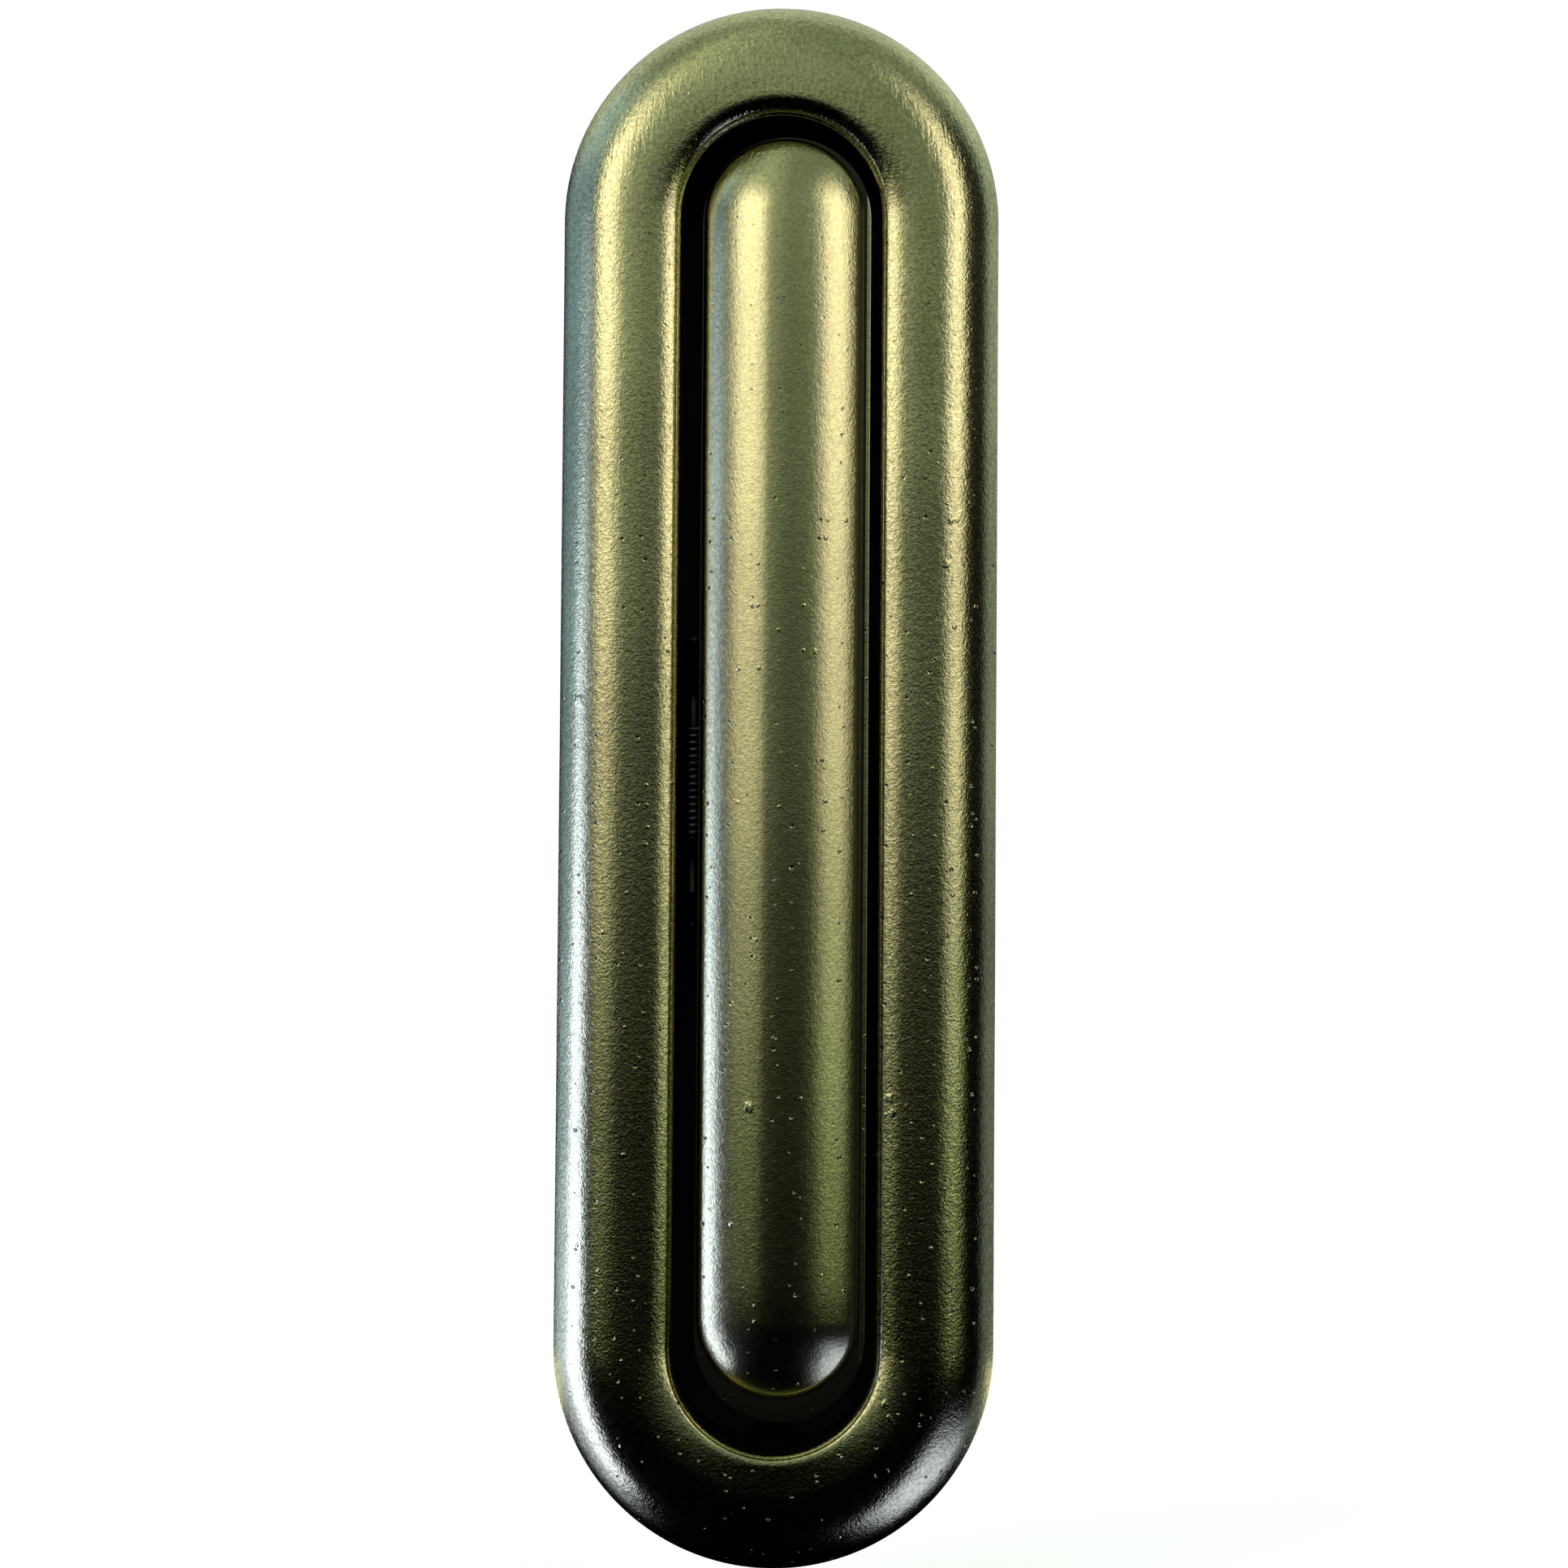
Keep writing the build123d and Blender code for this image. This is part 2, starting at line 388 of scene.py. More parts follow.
def flatter_end(radius, height, out_z, along):
    """Round the ends the front stays nearly level up to the slot; it rolls in sooner at the upper end."""
    if height < LIP_UNDER or radius > CREST_RADIUS:
        return 0.0
    if out_z < 0:
        crest, bend = END_CREST_RADIUS, END_ROLL_RADIUS
    else:
        crest, bend = UPPER_CREST_RADIUS, UPPER_ROLL_RADIUS
    run = CREST_RADIUS - max(radius, SLOT_RADIUS)
    leg_drop = CROWN_INNER - math.sqrt(CROWN_INNER**2 - run**2)
    roll = max(0.0, crest - max(radius, SLOT_RADIUS))
    end_drop = bend - math.sqrt(bend**2 - roll**2)
    edge_drop = CROWN_INNER - math.sqrt(CROWN_INNER**2 - (CREST_RADIUS - SLOT_RADIUS) ** 2)
    lip_top = CREST_HEIGHT - edge_drop - LIP_BEVEL
    hold = min(1.0, (height - LIP_UNDER) / (lip_top - LIP_UNDER))
    inward = max(0.0, SLOT_RADIUS - radius) / (SLOT_RADIUS - LIP_RADIUS)
    return abs(out_z) * (leg_drop - end_drop + LIP_END_RISE * inward) * hold


def build_frame():
    """The frame: its section carried round, then the bosses and hinge lugs, then the holes."""
    outer = crown(FRAME_RADIUS, CROWN_OUTER, steps=40)
    inner = crown(SLOT_RADIUS, CROWN_INNER, steps=20)
    corners = [(CREST_RADIUS, CREST_HEIGHT)] + outer + [
        (FRAME_RADIUS, 0.0),
        (SEAT_INNER, 0.0),
        (SEAT_INNER, HOLLOW_RIM),
        (SEAT_INNER - HOLLOW_SHOULDER, HOLLOW_ROOF),
        (COLLAR_OUTER, HOLLOW_ROOF),
        (COLLAR_OUTER, -COLLAR_DEPTH),
        (REBATE_RADIUS, -COLLAR_DEPTH),
        (REBATE_RADIUS, PLATE_FRONT),
        (COLLAR_INNER, PLATE_FRONT),
        (COLLAR_INNER, LIP_UNDER),
        (LIP_RADIUS, LIP_UNDER),
    ] + worn_lip(inner[-1][1]) + inner[-2::-1]
    points = soften(corners, step=0.03, passes=5)
    section = thin(points, True, lambda p: p[1] > 0.6 and (p[0] < SLOT_RADIUS + 0.4 or p[1] > 1.6))
    ring = carry(section, STRAIGHT_HALF, ARC_STEPS, FRAME_RUN_STEPS, True, lift=flatter_end)
    body = finish_mesh(ring, "bezel_frame_cast")
    wander(body, FRAME_WANDER * MM, FRAME_WANDER_LENGTH * MM, seed=3.0)

    added = []
    for end in (-1, 1):
        middle = end * FIXING_Z
        added.append(post(middle, BOSS_RADIUS, -COLLAR_DEPTH, PLATE_FRONT + BOSS_BITE))
        added.append(post(middle, BOSS_RADIUS + BOSS_SHOULDER, PLATE_FRONT, HOLLOW_ROOF + BOSS_BITE))
        root = rectangle(
            -COLLAR_INNER - FRAME_LUG_ROOT,
            -COLLAR_INNER + FRAME_LUG_ROOT,
            PIN_HEIGHT - FRAME_LUG_FOOT,
            LIP_UNDER + LUG_BITE,
        )
        outline = hull(root + circle(PIN_X, PIN_HEIGHT, EYE_RADIUS))
        span = sorted((end * FRAME_LUG_INNER, end * FRAME_LUG_OUTER))
        added.append(prism(outline, *span))
    combine(body, "UNION", joined("added", added))
    cut = [prism(circle(PIN_X, PIN_HEIGHT, PIN_RADIUS), -PIN_HOLE_REACH, PIN_HOLE_REACH)]
    for end in (-1, 1):
        top = FIXING_HOLE_DEPTH - COLLAR_DEPTH
        cut.append(post(end * FIXING_Z, FIXING_HOLE_RADIUS, -COLLAR_DEPTH - CUT_PAST, top))
    combine(body, "DIFFERENCE", joined("cut", cut))
    body.data.set_sharp_from_angle(angle=math.radians(SHARP_ANGLE))
    return body


# Flap casting

def eased_end(radius, height, out_z, along):
    """Towards its ends the flap's crown falls away gently."""
    gone = max(0.0, abs(along) - DOME_LENGTH / 2 + EASE_LENGTH) / EASE_LENGTH
    return -EASE_DROP * gone**2 * (3 - 2 * gone)


def build_flap():
    """The flap: its dome on the base rim, hollowed, with ribs, lugs and heels, turned to its rest."""
    half = (DOME_WIDTH + FREE_EDGE_OUT) / 2
    ridge_run = (FLANK_RADIUS - RIDGE_RADIUS) * math.sin(math.radians(RIDGE_ANGLE))
    flank_sin = (half - SHOULDER_RADIUS + ridge_run) / (FLANK_RADIUS - SHOULDER_RADIUS)
    flank_angle = math.degrees(math.asin(flank_sin))
    points = falling_arc((0.0, CROWN_HEIGHT), RIDGE_RADIUS, 0, RIDGE_ANGLE, steps=30)
    points += falling_arc(points[-1], FLANK_RADIUS, RIDGE_ANGLE, flank_angle, steps=60)[1:]
    points += falling_arc(points[-1], SHOULDER_RADIUS, flank_angle, 90, steps=40)[1:]
    points += [(half, RIM_TOP - DOME_BITE), (0.0, RIM_TOP - DOME_BITE)]
    arch = soften(points, step=0.08, passes=4, closed=False)
    section = thin(arch, False, lambda p: p[1] > RIM_TOP)
    straight = DOME_LENGTH / 2 - half
    middle_x = FLAP_SHIFT_X + FREE_EDGE_OUT / 2
    dome = carry(section, straight, ARC_STEPS, FLAP_RUN_STEPS, False, middle_x, FLAP_SHIFT_Z, eased_end)
    body = finish_mesh(dome, "pull_flap_cast")
    wander(body, FLAP_WANDER * MM, FLAP_WANDER_LENGTH * MM, seed=8.0)

    edge = BASE_WIDTH / 2
    corners = [(0.0, RIM_TOP), (edge, RIM_TOP), (edge, FLAP_BASE), (0.0, FLAP_BASE)]
    bar = thin(soften(corners, step=0.05, passes=6, closed=False), False, lambda p: False)
    straight = (BASE_LENGTH - BASE_WIDTH) / 2
    rim = carry(bar, straight, RIM_ARC_STEPS, 2, False, BASE_SHIFT_X, BASE_SHIFT_Z)
    combine(body, "UNION", finish_mesh(rim, "rim"))

    half = DOME_WIDTH / 2
    edge = half - FLAP_WALL
    under = FLAP_BASE - CUT_PAST
    corners = [(0.0, FLAP_ROOF), (edge, FLAP_ROOF), (edge, under), (0.0, under)]
    room = thin(soften(corners, step=0.1, passes=8, closed=False), False, lambda p: False)
    straight = (DOME_LENGTH - 2 * FLAP_WALL) / 2 - edge
    pocket = carry(room, straight, POCKET_ARC_STEPS, 2, False, FLAP_SHIFT_X, FLAP_SHIFT_Z)
    combine(body, "DIFFERENCE", finish_mesh(pocket, "pocket"))

    left = FLAP_SHIFT_X - half + FLAP_WALL / 2
    right = FLAP_SHIFT_X + half - FLAP_WALL / 2
    rib_top = FLAP_ROOF + RIB_BITE
    added = []
    for share in RIB_SHARES:
        middle = FLAP_SHIFT_Z + share * DOME_LENGTH
        outline = rectangle(left, right, FLAP_BASE + RIB_INSET, rib_top)
        added.append(prism(outline, middle - RIB_THICKNESS / 2, middle + RIB_THICKNESS / 2))
    low = FLAP_SHIFT_Z - FLAP_LUG_INNER
    high = FLAP_SHIFT_Z + FLAP_LUG_INNER
    rib_half = SPRING_RIB_WIDTH / 2
    outline = rectangle(SPRING_RIB_X - rib_half, SPRING_RIB_X + rib_half, SPRING_RIB_LOW, rib_top)
    added.append(prism(outline, low - RIB_BITE, high + RIB_BITE))
    for span in ((low - FLAP_LUG_THICKNESS, low), (high, high + FLAP_LUG_THICKNESS)):
        root = rectangle(left, left + FLAP_LUG_REACH, FLAP_BASE, rib_top)
        added.append(prism(hull(root + circle(PIN_X, PIN_HEIGHT, EYE_RADIUS)), *span))
        heel = rectangle(PIN_X - HEEL_REACH, PIN_X, PIN_HEIGHT + HEEL_RISE, PIN_HEIGHT + EYE_RADIUS)
        added.append(prism(heel, *span))
    combine(body, "UNION", joined("added", added))
    hole = prism(circle(PIN_X, PIN_HEIGHT, HOLE_RADIUS), low - FLAP_HOLE_PAST, high + FLAP_HOLE_PAST)
    combine(body, "DIFFERENCE", joined("cut", [hole]))
    pivot = Vector((PIN_X * MM, -PIN_HEIGHT * MM, 0.0))
    turn = Matrix.Rotation(-math.radians(REST_TILT), 4, "Z")
    body.data.transform(Matrix.Translation(pivot) @ turn @ Matrix.Translation(-pivot))
    body.data.set_sharp_from_angle(angle=math.radians(SHARP_ANGLE))
    return body


# Return spring, wound as one wire

def build_spring():
    """The spring: fixed leg, coil and moving leg swept as one round wire."""
    def on_coil(angle, z):
        turn = math.radians(angle)
        x = PIN_X + COIL_RADIUS * math.cos(turn)
        return Vector((x, -PIN_HEIGHT + COIL_RADIUS * math.sin(turn), z))

    first, last = COIL_LOW + COIL_HALF_PITCH, COIL_HIGH - COIL_HALF_PITCH
    end_angle = 270.0 - REST_TILT + COIL_TURNS * 360.0
    steps = COIL_TURNS * TURN_STEPS
    coil = []
    for i in range(steps + 1):
        share = i / steps
        angle = FIXED_LEG_ANGLE + share * (end_angle - FIXED_LEG_ANGLE)
        coil.append(on_coil(angle, first + share * (last - first)))
    lean = math.radians(FIXED_LEG_ANGLE)
    down = Vector((math.sin(lean), -math.cos(lean), 0.0))
    tilt = math.radians(REST_TILT)
    out = Vector((math.cos(tilt), -math.sin(tilt), 0.0))
    path = [coil[0] + down * FIXED_LEG_DROP * (1 - i / LEG_STEPS) for i in range(LEG_STEPS)]
    path += coil
    path += [coil[-1] + out * MOVING_LEG * (i + 1) / LEG_STEPS for i in range(LEG_STEPS)]

    bm = bmesh.new()
    rings = []
    for i, p in enumerate(path):
        along = (path[min(i + 1, len(path) - 1)] - path[max(i - 1, 0)]).normalized()
        across = along.cross(Vector((0.0, 0.0, 1.0))).normalized()
        up = across.cross(along).normalized()
        ring = []
        for s in range(WIRE_SIDES):
            turn = 2 * math.pi * s / WIRE_SIDES
            side = across * math.cos(turn) + up * math.sin(turn)
            ring.append(bm.verts.new(p + side * WIRE_RADIUS))
        rings.append(ring)
    for ring, after in zip(rings, rings[1:]):
        for s in range(WIRE_SIDES):
            k = (s + 1) % WIRE_SIDES
            bm.faces.new((ring[s], ring[k], after[k], after[s]))
    bm.faces.new(rings[0])
    bm.faces.new(rings[-1])
    return finish_mesh(bm, "return_spring_wire")


# Materials

# Small casting lumps and knocks: x, z and radius in millimetres
FRAME_DINGS = (
    (-19.0, 7.5, 0.7),
    (16.3, 24.8, 0.5),
    (16.0, 20.5, 0.6),
    (10.7, -30.0, 0.5),
    (11.0, -31.4, 0.4),
    (10.5, -58.6, 0.5),
    (10.9, -60.0, 0.4),
)
FLAP_DINGS = ((-2.5, -30.9, 0.6), (3.5, 12.0, 0.35))

BRASS = (0.490, 0.4575, 0.200)
BRASS_SPREAD = 0.24
PITTED = (0.13, 0.115, 0.06)
# Black painted over hidden faces as shade.
SHADE_BLACK = (0.030, 0.028, 0.018)
# Steel painted dark for the shade it lies in inside the slot; the stained tone varies at random.
STEEL_IN_SHADE = (0.17, 0.16, 0.15)
STAINED_STEEL_IN_SHADE = (0.08, 0.075, 0.07)
ENAMEL = (0.022, 0.022, 0.022)
RUBBED_ENAMEL = (0.045, 0.043, 0.040)
FLOOR_DULL = (0.84, 0.84, 0.84)
FLOOR_PALE = (0.88, 0.88, 0.88)

# Depths of the relief in millimetres
SWELL_DEPTH = 0.014
BRUSH_DEPTH = 0.010
KNOCK_DEPTH = 0.04
PEEL_DEPTH = 0.027
MARK_DEPTH = 0.05
DRAWN_DEPTH = 0.002
ENAMEL_DEPTH = 0.008


def add(tree, kind, inputs=None, **settings):
    """A node with its settings and inputs; an input is a value or another node's socket."""
    made = tree.nodes.new(kind)
    for name, value in settings.items():
        setattr(made, name, value)
    for name, value in (inputs or {}).items():
        if isinstance(value, bpy.types.NodeSocket):
            tree.links.new(value, made.inputs[name])
        else:
            made.inputs[name].default_value = value
    return made


def calc(tree, operation, a, b=None, c=None):
    """One sum; each term is a number or a socket."""
    terms = {i: v for i, v in enumerate((a, b, c)) if v is not None}
    return add(tree, "ShaderNodeMath", terms, operation=operation).outputs[0]


def ramp_between(tree, value, low, high):
    """0 below low and 1 above high, smooth between."""
    if low > high:
        rising = ramp_between(tree, value, high, low)
        return calc(tree, "SUBTRACT", 1.0, rising)
    names = {"Value": value, "From Min": low, "From Max": high}
    return add(tree, "ShaderNodeMapRange", names, interpolation_type="SMOOTHSTEP").outputs[0]


def blend_colour(tree, share, a, b):
    """From colour a to colour b. The share is held between 0 and 1."""
    made = add(tree, "ShaderNodeMix", data_type="RGBA")
    for socket, value in ((made.inputs[0], share), (made.inputs[6], a), (made.inputs[7], b)):
        if isinstance(value, bpy.types.NodeSocket):
            tree.links.new(value, socket)
        else:
            socket.default_value = value
    return made.outputs[2]


def new_material(name):
    """An empty material and its node tree."""
    material = bpy.data.materials.new(name)
    material.use_nodes = True
    tree = material.node_tree
    tree.nodes.clear()
    return material, tree


def noise_value(tree, where, scale, detail=2.0, rough=0.5):
    """A noise of so many lumps to the metre."""
    names = {"Vector": where, "Scale": scale, "Detail": detail, "Roughness": rough}
    return add(tree, "ShaderNodeTexNoise", names).outputs["Fac"]


def rgba(colour, level=1.0):
    """A colour at a level, with its alpha."""
    return (*[c * level for c in colour], 1.0)


def product(tree, *shares):
    """Shares times one another."""
    whole = shares[0]
    for share in shares[1:]:
        whole = calc(tree, "MULTIPLY", whole, share)
    return whole


def brass_material(name, painted_shade_mask, dings, grain, satin):
    """Satin antique brass on a casting.

    The mask function given paints shade as black on its hidden faces, grain scales its orange peel, and
    satin is its least roughness.
    """
    material, tree = new_material(name)
    where = add(tree, "ShaderNodeTexCoord").outputs["Object"]
    x, y, z = add(tree, "ShaderNodeSeparateXYZ", {0: where}).outputs
    patches = noise_value(tree, where, 70.0, 3.0)
    peel = noise_value(tree, where, 4300.0, 2.0, 0.6)
    swell = noise_value(tree, where, 1300.0, 1.0)
    drawn = add(tree, "ShaderNodeMapping", {"Vector": where, "Scale": (3000.0, 3000.0, 420.0)})
    streaks = noise_value(tree, drawn.outputs[0], 1.0, 2.0)

    # Pits and specks on the front, fewer on the upper part
    front = add(tree, "ShaderNodeCombineXYZ", {0: x, 1: z}).outputs[0]
    names = {"Vector": front, "Scale": 480.0}
    cells = add(tree, "ShaderNodeTexVoronoi", names, voronoi_dimensions="2D")
    lot = add(tree, "ShaderNodeSeparateColor", {0: cells.outputs["Color"]}).outputs
    size = calc(tree, "MULTIPLY_ADD", lot[1], 0.08, 0.04)
    spot = calc(tree, "SUBTRACT", 1.0, calc(tree, "DIVIDE", cells.outputs["Distance"], size))
    spot = ramp_between(tree, spot, 0.0, 0.7)
    lower = calc(tree, "MULTIPLY_ADD", ramp_between(tree, z, 40.0 * MM, 15.0 * MM), 0.75, 0.25)
    lower = product(tree, lower, ramp_between(tree, y, -1.8 * MM, -2.3 * MM))
    pits = product(tree, spot, ramp_between(tree, lot[0], 0.62, 0.64), lower)
    specks = product(tree, spot, ramp_between(tree, lot[0], 0.22, 0.20), lower)

    # Knocks with ragged edges
    names = {"Vector": where, "Scale": 1900.0, "Detail": 2.0}
    ragged = add(tree, "ShaderNodeTexNoise", names).outputs["Color"]
    names = {0: ragged, "Scale": 0.9 * MM}
    ragged = add(tree, "ShaderNodeVectorMath", names, operation="SCALE").outputs[0]
    near = add(tree, "ShaderNodeVectorMath", {0: where, 1: ragged}, operation="ADD").outputs[0]
    near_x, _, near_z = add(tree, "ShaderNodeSeparateXYZ", {0: near}).outputs
    near = add(tree, "ShaderNodeCombineXYZ", {0: near_x, 2: near_z}).outputs[0]
    knocks = None
    for ding_x, ding_z, reach in dings:
        place = ((ding_x + 0.45) * MM, 0.0, (ding_z + 0.45) * MM)
        gap = add(tree, "ShaderNodeVectorMath", {0: near, 1: place}, operation="DISTANCE")
        one = ramp_between(tree, gap.outputs["Value"], reach * MM, 0.2 * reach * MM)
        knocks = one if knocks is None else calc(tree, "ADD", knocks, one)

    mottle = noise_value(tree, where, 2600.0, 2.0)
    tone = calc(tree, "MULTIPLY_ADD", patches, 0.35, calc(tree, "MULTIPLY", mottle, 0.65))
    tone = ramp_between(tree, tone, 0.36, 0.64)
    spread = BRASS_SPREAD * grain
    colour = blend_colour(tree, tone, rgba(BRASS, 1 - spread), rgba(BRASS, 1 + spread))
    colour = blend_colour(tree, calc(tree, "MULTIPLY", pits, 0.85), colour, rgba(PITTED))
    # Painted shade: the hidden faces blend to black and grow rougher.
    dark = painted_shade_mask(tree, where)
    colour = blend_colour(tree, dark, colour, rgba(SHADE_BLACK))
    rough = calc(tree, "MULTIPLY_ADD", swell, 0.06, satin)
    rough = calc(tree, "ADD", rough, calc(tree, "MULTIPLY", dark, 0.3))

    ends = ramp_between(tree, z, 54.0 * MM, 62.0 * MM)
    brushed = calc(tree, "MULTIPLY", streaks, calc(tree, "MULTIPLY_ADD", ends, 4.0, 0.3))
    marks = calc(tree, "SUBTRACT", calc(tree, "MULTIPLY", specks, 0.7), pits)
    relief = None
    for height, depth in (
        (swell, SWELL_DEPTH * grain),
        (brushed, BRUSH_DEPTH),
        (knocks, KNOCK_DEPTH),
        (peel, PEEL_DEPTH * grain),
        (marks, MARK_DEPTH),
    ):
        names = {"Height": height, "Strength": 1.0, "Distance": depth * MM}
        if relief is not None:
            names["Normal"] = relief
        relief = add(tree, "ShaderNodeBump", names).outputs[0]
    shader = add(
        tree,
        "ShaderNodeBsdfPrincipled",
        {
            "Base Color": colour,
            "Metallic": 1.0,
            "Roughness": rough,
            "Normal": relief,
            "Coat Weight": 0.2,
            "Coat Roughness": 0.15,
        },
    )
    add(tree, "ShaderNodeOutputMaterial", {"Surface": shader.outputs[0]})
    return material


def frame_painted_shade(tree, where):
    """Painted shade: inside the slot, under the lip, the brass is painted black for the shade there."""
    x, y, z = add(tree, "ShaderNodeSeparateXYZ", {0: where}).outputs
    past = calc(tree, "SUBTRACT", calc(tree, "ABSOLUTE", z), STRAIGHT_HALF * MM)
    past = calc(tree, "MAXIMUM", past, 0.0)
    squares = calc(tree, "ADD", calc(tree, "POWER", x, 2.0), calc(tree, "POWER", past, 2.0))
    inside = ramp_between(tree, calc(tree, "SQRT", squares), 12.5 * MM, 12.3 * MM)
    below = ramp_between(tree, y, -3.5 * MM, -2.9 * MM)
    before_plate = ramp_between(tree, y, 14.3 * MM, 14.05 * MM)
    return product(tree, inside, below, before_plate)


def flap_painted_shade(tree, where):
    """Painted shade: the flap's hidden back and rim are painted black, and painted shade darkens the crease
    along its free shoulder.

    Only the edge of the rim along the free side is left out of the painted shade.
    """
    x, y, _ = add(tree, "ShaderNodeSeparateXYZ", {0: where}).outputs
    lean = math.sin(math.radians(REST_TILT))
    depth = calc(tree, "ADD", y, calc(tree, "MULTIPLY_ADD", x, lean, -PIN_X * lean * MM))
    # Painted shade: the rim and the hidden back below it are painted black.
    rim = ramp_between(tree, depth, (-RIM_TOP - 0.20) * MM, (-RIM_TOP - 0.06) * MM)
    # Painted shade in the crease along the free shoulder.
    crease = calc(tree, "MULTIPLY", ramp_between(tree, x, 7.2 * MM, 7.45 * MM), 0.9)
    rim_edge = ramp_between(tree, x, 8.15 * MM, 8.3 * MM)
    # The outer edge of the rim along the free side is left out of the painted shade.
    unshaded_edge = product(tree, rim_edge, ramp_between(tree, depth, -3.0 * MM, -3.2 * MM))
    shown = calc(tree, "SUBTRACT", 1.0, unshaded_edge)
    return calc(tree, "MULTIPLY", calc(tree, "MAXIMUM", rim, crease), shown)


def steel_material():
    """Drawn spring wire and ground pin, lightly drawn lengthwise, with random stains; their colour is
    painted dark for the shade they lie in inside the slot.
    """
    material, tree = new_material("spring_steel")
    where = add(tree, "ShaderNodeTexCoord").outputs["Object"]
    stain = noise_value(tree, where, 500.0, 3.0)
    drawn = add(tree, "ShaderNodeMapping", {"Vector": where, "Scale": (9000.0, 9000.0, 700.0)})
    lines = noise_value(tree, drawn.outputs[0], 1.0, 2.0)
    colour = blend_colour(tree, ramp_between(tree, stain, 0.35, 0.7), rgba(STEEL_IN_SHADE), rgba(STAINED_STEEL_IN_SHADE))
    rough = calc(tree, "MULTIPLY_ADD", stain, 0.2, 0.22)
    relief = add(tree, "ShaderNodeBump", {"Height": lines, "Strength": 1.0, "Distance": DRAWN_DEPTH * MM})
    shader = add(
        tree,
        "ShaderNodeBsdfPrincipled",
        {"Base Color": colour, "Metallic": 1.0, "Roughness": rough, "Normal": relief.outputs[0]},
    )
    add(tree, "ShaderNodeOutputMaterial", {"Surface": shader.outputs[0]})
    return material


def enamel_material():
    """Matt black stove enamel with a fine grain and a few dull rubs."""
    material, tree = new_material("black_enamel")
    where = add(tree, "ShaderNodeTexCoord").outputs["Object"]
    grain = noise_value(tree, where, 3000.0, 2.0)
    rubs = noise_value(tree, where, 120.0, 4.0, 0.65)
    colour = blend_colour(tree, ramp_between(tree, rubs, 0.5, 0.75), rgba(ENAMEL), rgba(RUBBED_ENAMEL))
    rough = calc(tree, "MULTIPLY_ADD", rubs, -0.2, 0.68)
    relief = add(tree, "ShaderNodeBump", {"Height": grain, "Strength": 1.0, "Distance": ENAMEL_DEPTH * MM})
    shader = add(
        tree,
        "ShaderNodeBsdfPrincipled",
        {"Base Color": colour, "Roughness": rough, "Normal": relief.outputs[0]},
    )
    add(tree, "ShaderNodeOutputMaterial", {"Surface": shader.outputs[0]})
    return material


frame_cast = build_frame()
frame_cast.data.materials.clear()
frame_brass = brass_material("antique_brass_frame", frame_painted_shade, FRAME_DINGS, grain=1.0, satin=0.11)
frame_cast.data.materials.append(frame_brass)
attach(frame_cast, "housing")
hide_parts("bezel_frame")

flap_cast = build_flap()
flap_cast.data.materials.clear()
flap_brass = brass_material("antique_brass_flap", flap_painted_shade, FLAP_DINGS, grain=0.55, satin=0.15)
flap_cast.data.materials.append(flap_brass)
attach(flap_cast, "flap")
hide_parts("pull_flap")

steel = steel_material()
spring = build_spring()
spring.data.materials.append(steel)
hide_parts("return_spring")
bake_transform(spring)

enamel = enamel_material()
for name, material in (("hinge_pin", steel), ("back_plate", enamel)):
    nodes[name].data.materials.clear()
    nodes[name].data.materials.append(material)


# Floor, light and camera

def aim(obj, target, roll=0.0):
    """Turn a lamp or camera to look at a point."""
    direction = (Vector(target) - obj.location).normalized()
    obj.rotation_mode = "QUATERNION"
    obj.rotation_quaternion = direction.to_track_quat("-Z", "Y") @ Quaternion((0.0, 0.0, 1.0), roll)


def soft_box(name, azimuth, elevation, distance, width, height, level, colour):
    """A soft lamp seen from the part at an azimuth (0 is the camera's side) and an elevation."""
    lamp = bpy.data.lights.new(name, "AREA")
    lamp.shape = "RECTANGLE"
    lamp.size = width
    lamp.size_y = height
    lamp.energy = level * math.pi * width * height
    lamp.color = colour
    a, e = math.radians(azimuth), math.radians(elevation)
    obj = bpy.data.objects.new(name, lamp)
    obj.location = Vector((math.sin(a) * math.cos(e), -math.cos(a) * math.cos(e), math.sin(e))) * distance
    aim(obj, (0.0, 0.0, 0.0))
    obj.visible_camera = False
    bpy.context.scene.collection.objects.link(obj)


def build_floor():
    """A pale floor behind the part, as wide as the picture shows it. It takes the part's shadow."""
    bm = bmesh.new()
    corners = [(-0.13, 0.028), (0.13, 0.028), (0.45, 1.2), (-0.45, 1.2)]
    bm.faces.new([bm.verts.new((x, y, -0.082)) for x, y in corners])
    mesh = bpy.data.meshes.new("floor")
    bm.to_mesh(mesh)
    bm.free()
    floor = bpy.data.objects.new("floor", mesh)
    bpy.context.scene.collection.objects.link(floor)
    material, tree = new_material("pale_floor")
    where = add(tree, "ShaderNodeTexCoord").outputs["Object"]
    grain = noise_value(tree, where, 400.0, 2.0)
    colour = blend_colour(tree, grain, rgba(FLOOR_DULL), rgba(FLOOR_PALE))
    diffuse = add(tree, "ShaderNodeBsdfDiffuse", {"Color": colour})
    rays = add(tree, "ShaderNodeLightPath").outputs
    seen = calc(tree, "MAXIMUM", rays["Is Glossy Ray"], rays["Is Transmission Ray"])
    seen = calc(tree, "MAXIMUM", rays["Is Camera Ray"], seen)
    strength = calc(tree, "MULTIPLY", seen, 0.60)
    glow = add(tree, "ShaderNodeEmission", {"Color": rgba((1.0, 0.97, 0.86)), "Strength": strength})
    both = add(tree, "ShaderNodeAddShader", {0: diffuse.outputs[0], 1: glow.outputs[0]})
    add(tree, "ShaderNodeOutputMaterial", {"Surface": both.outputs[0]})
    mesh.materials.append(material)


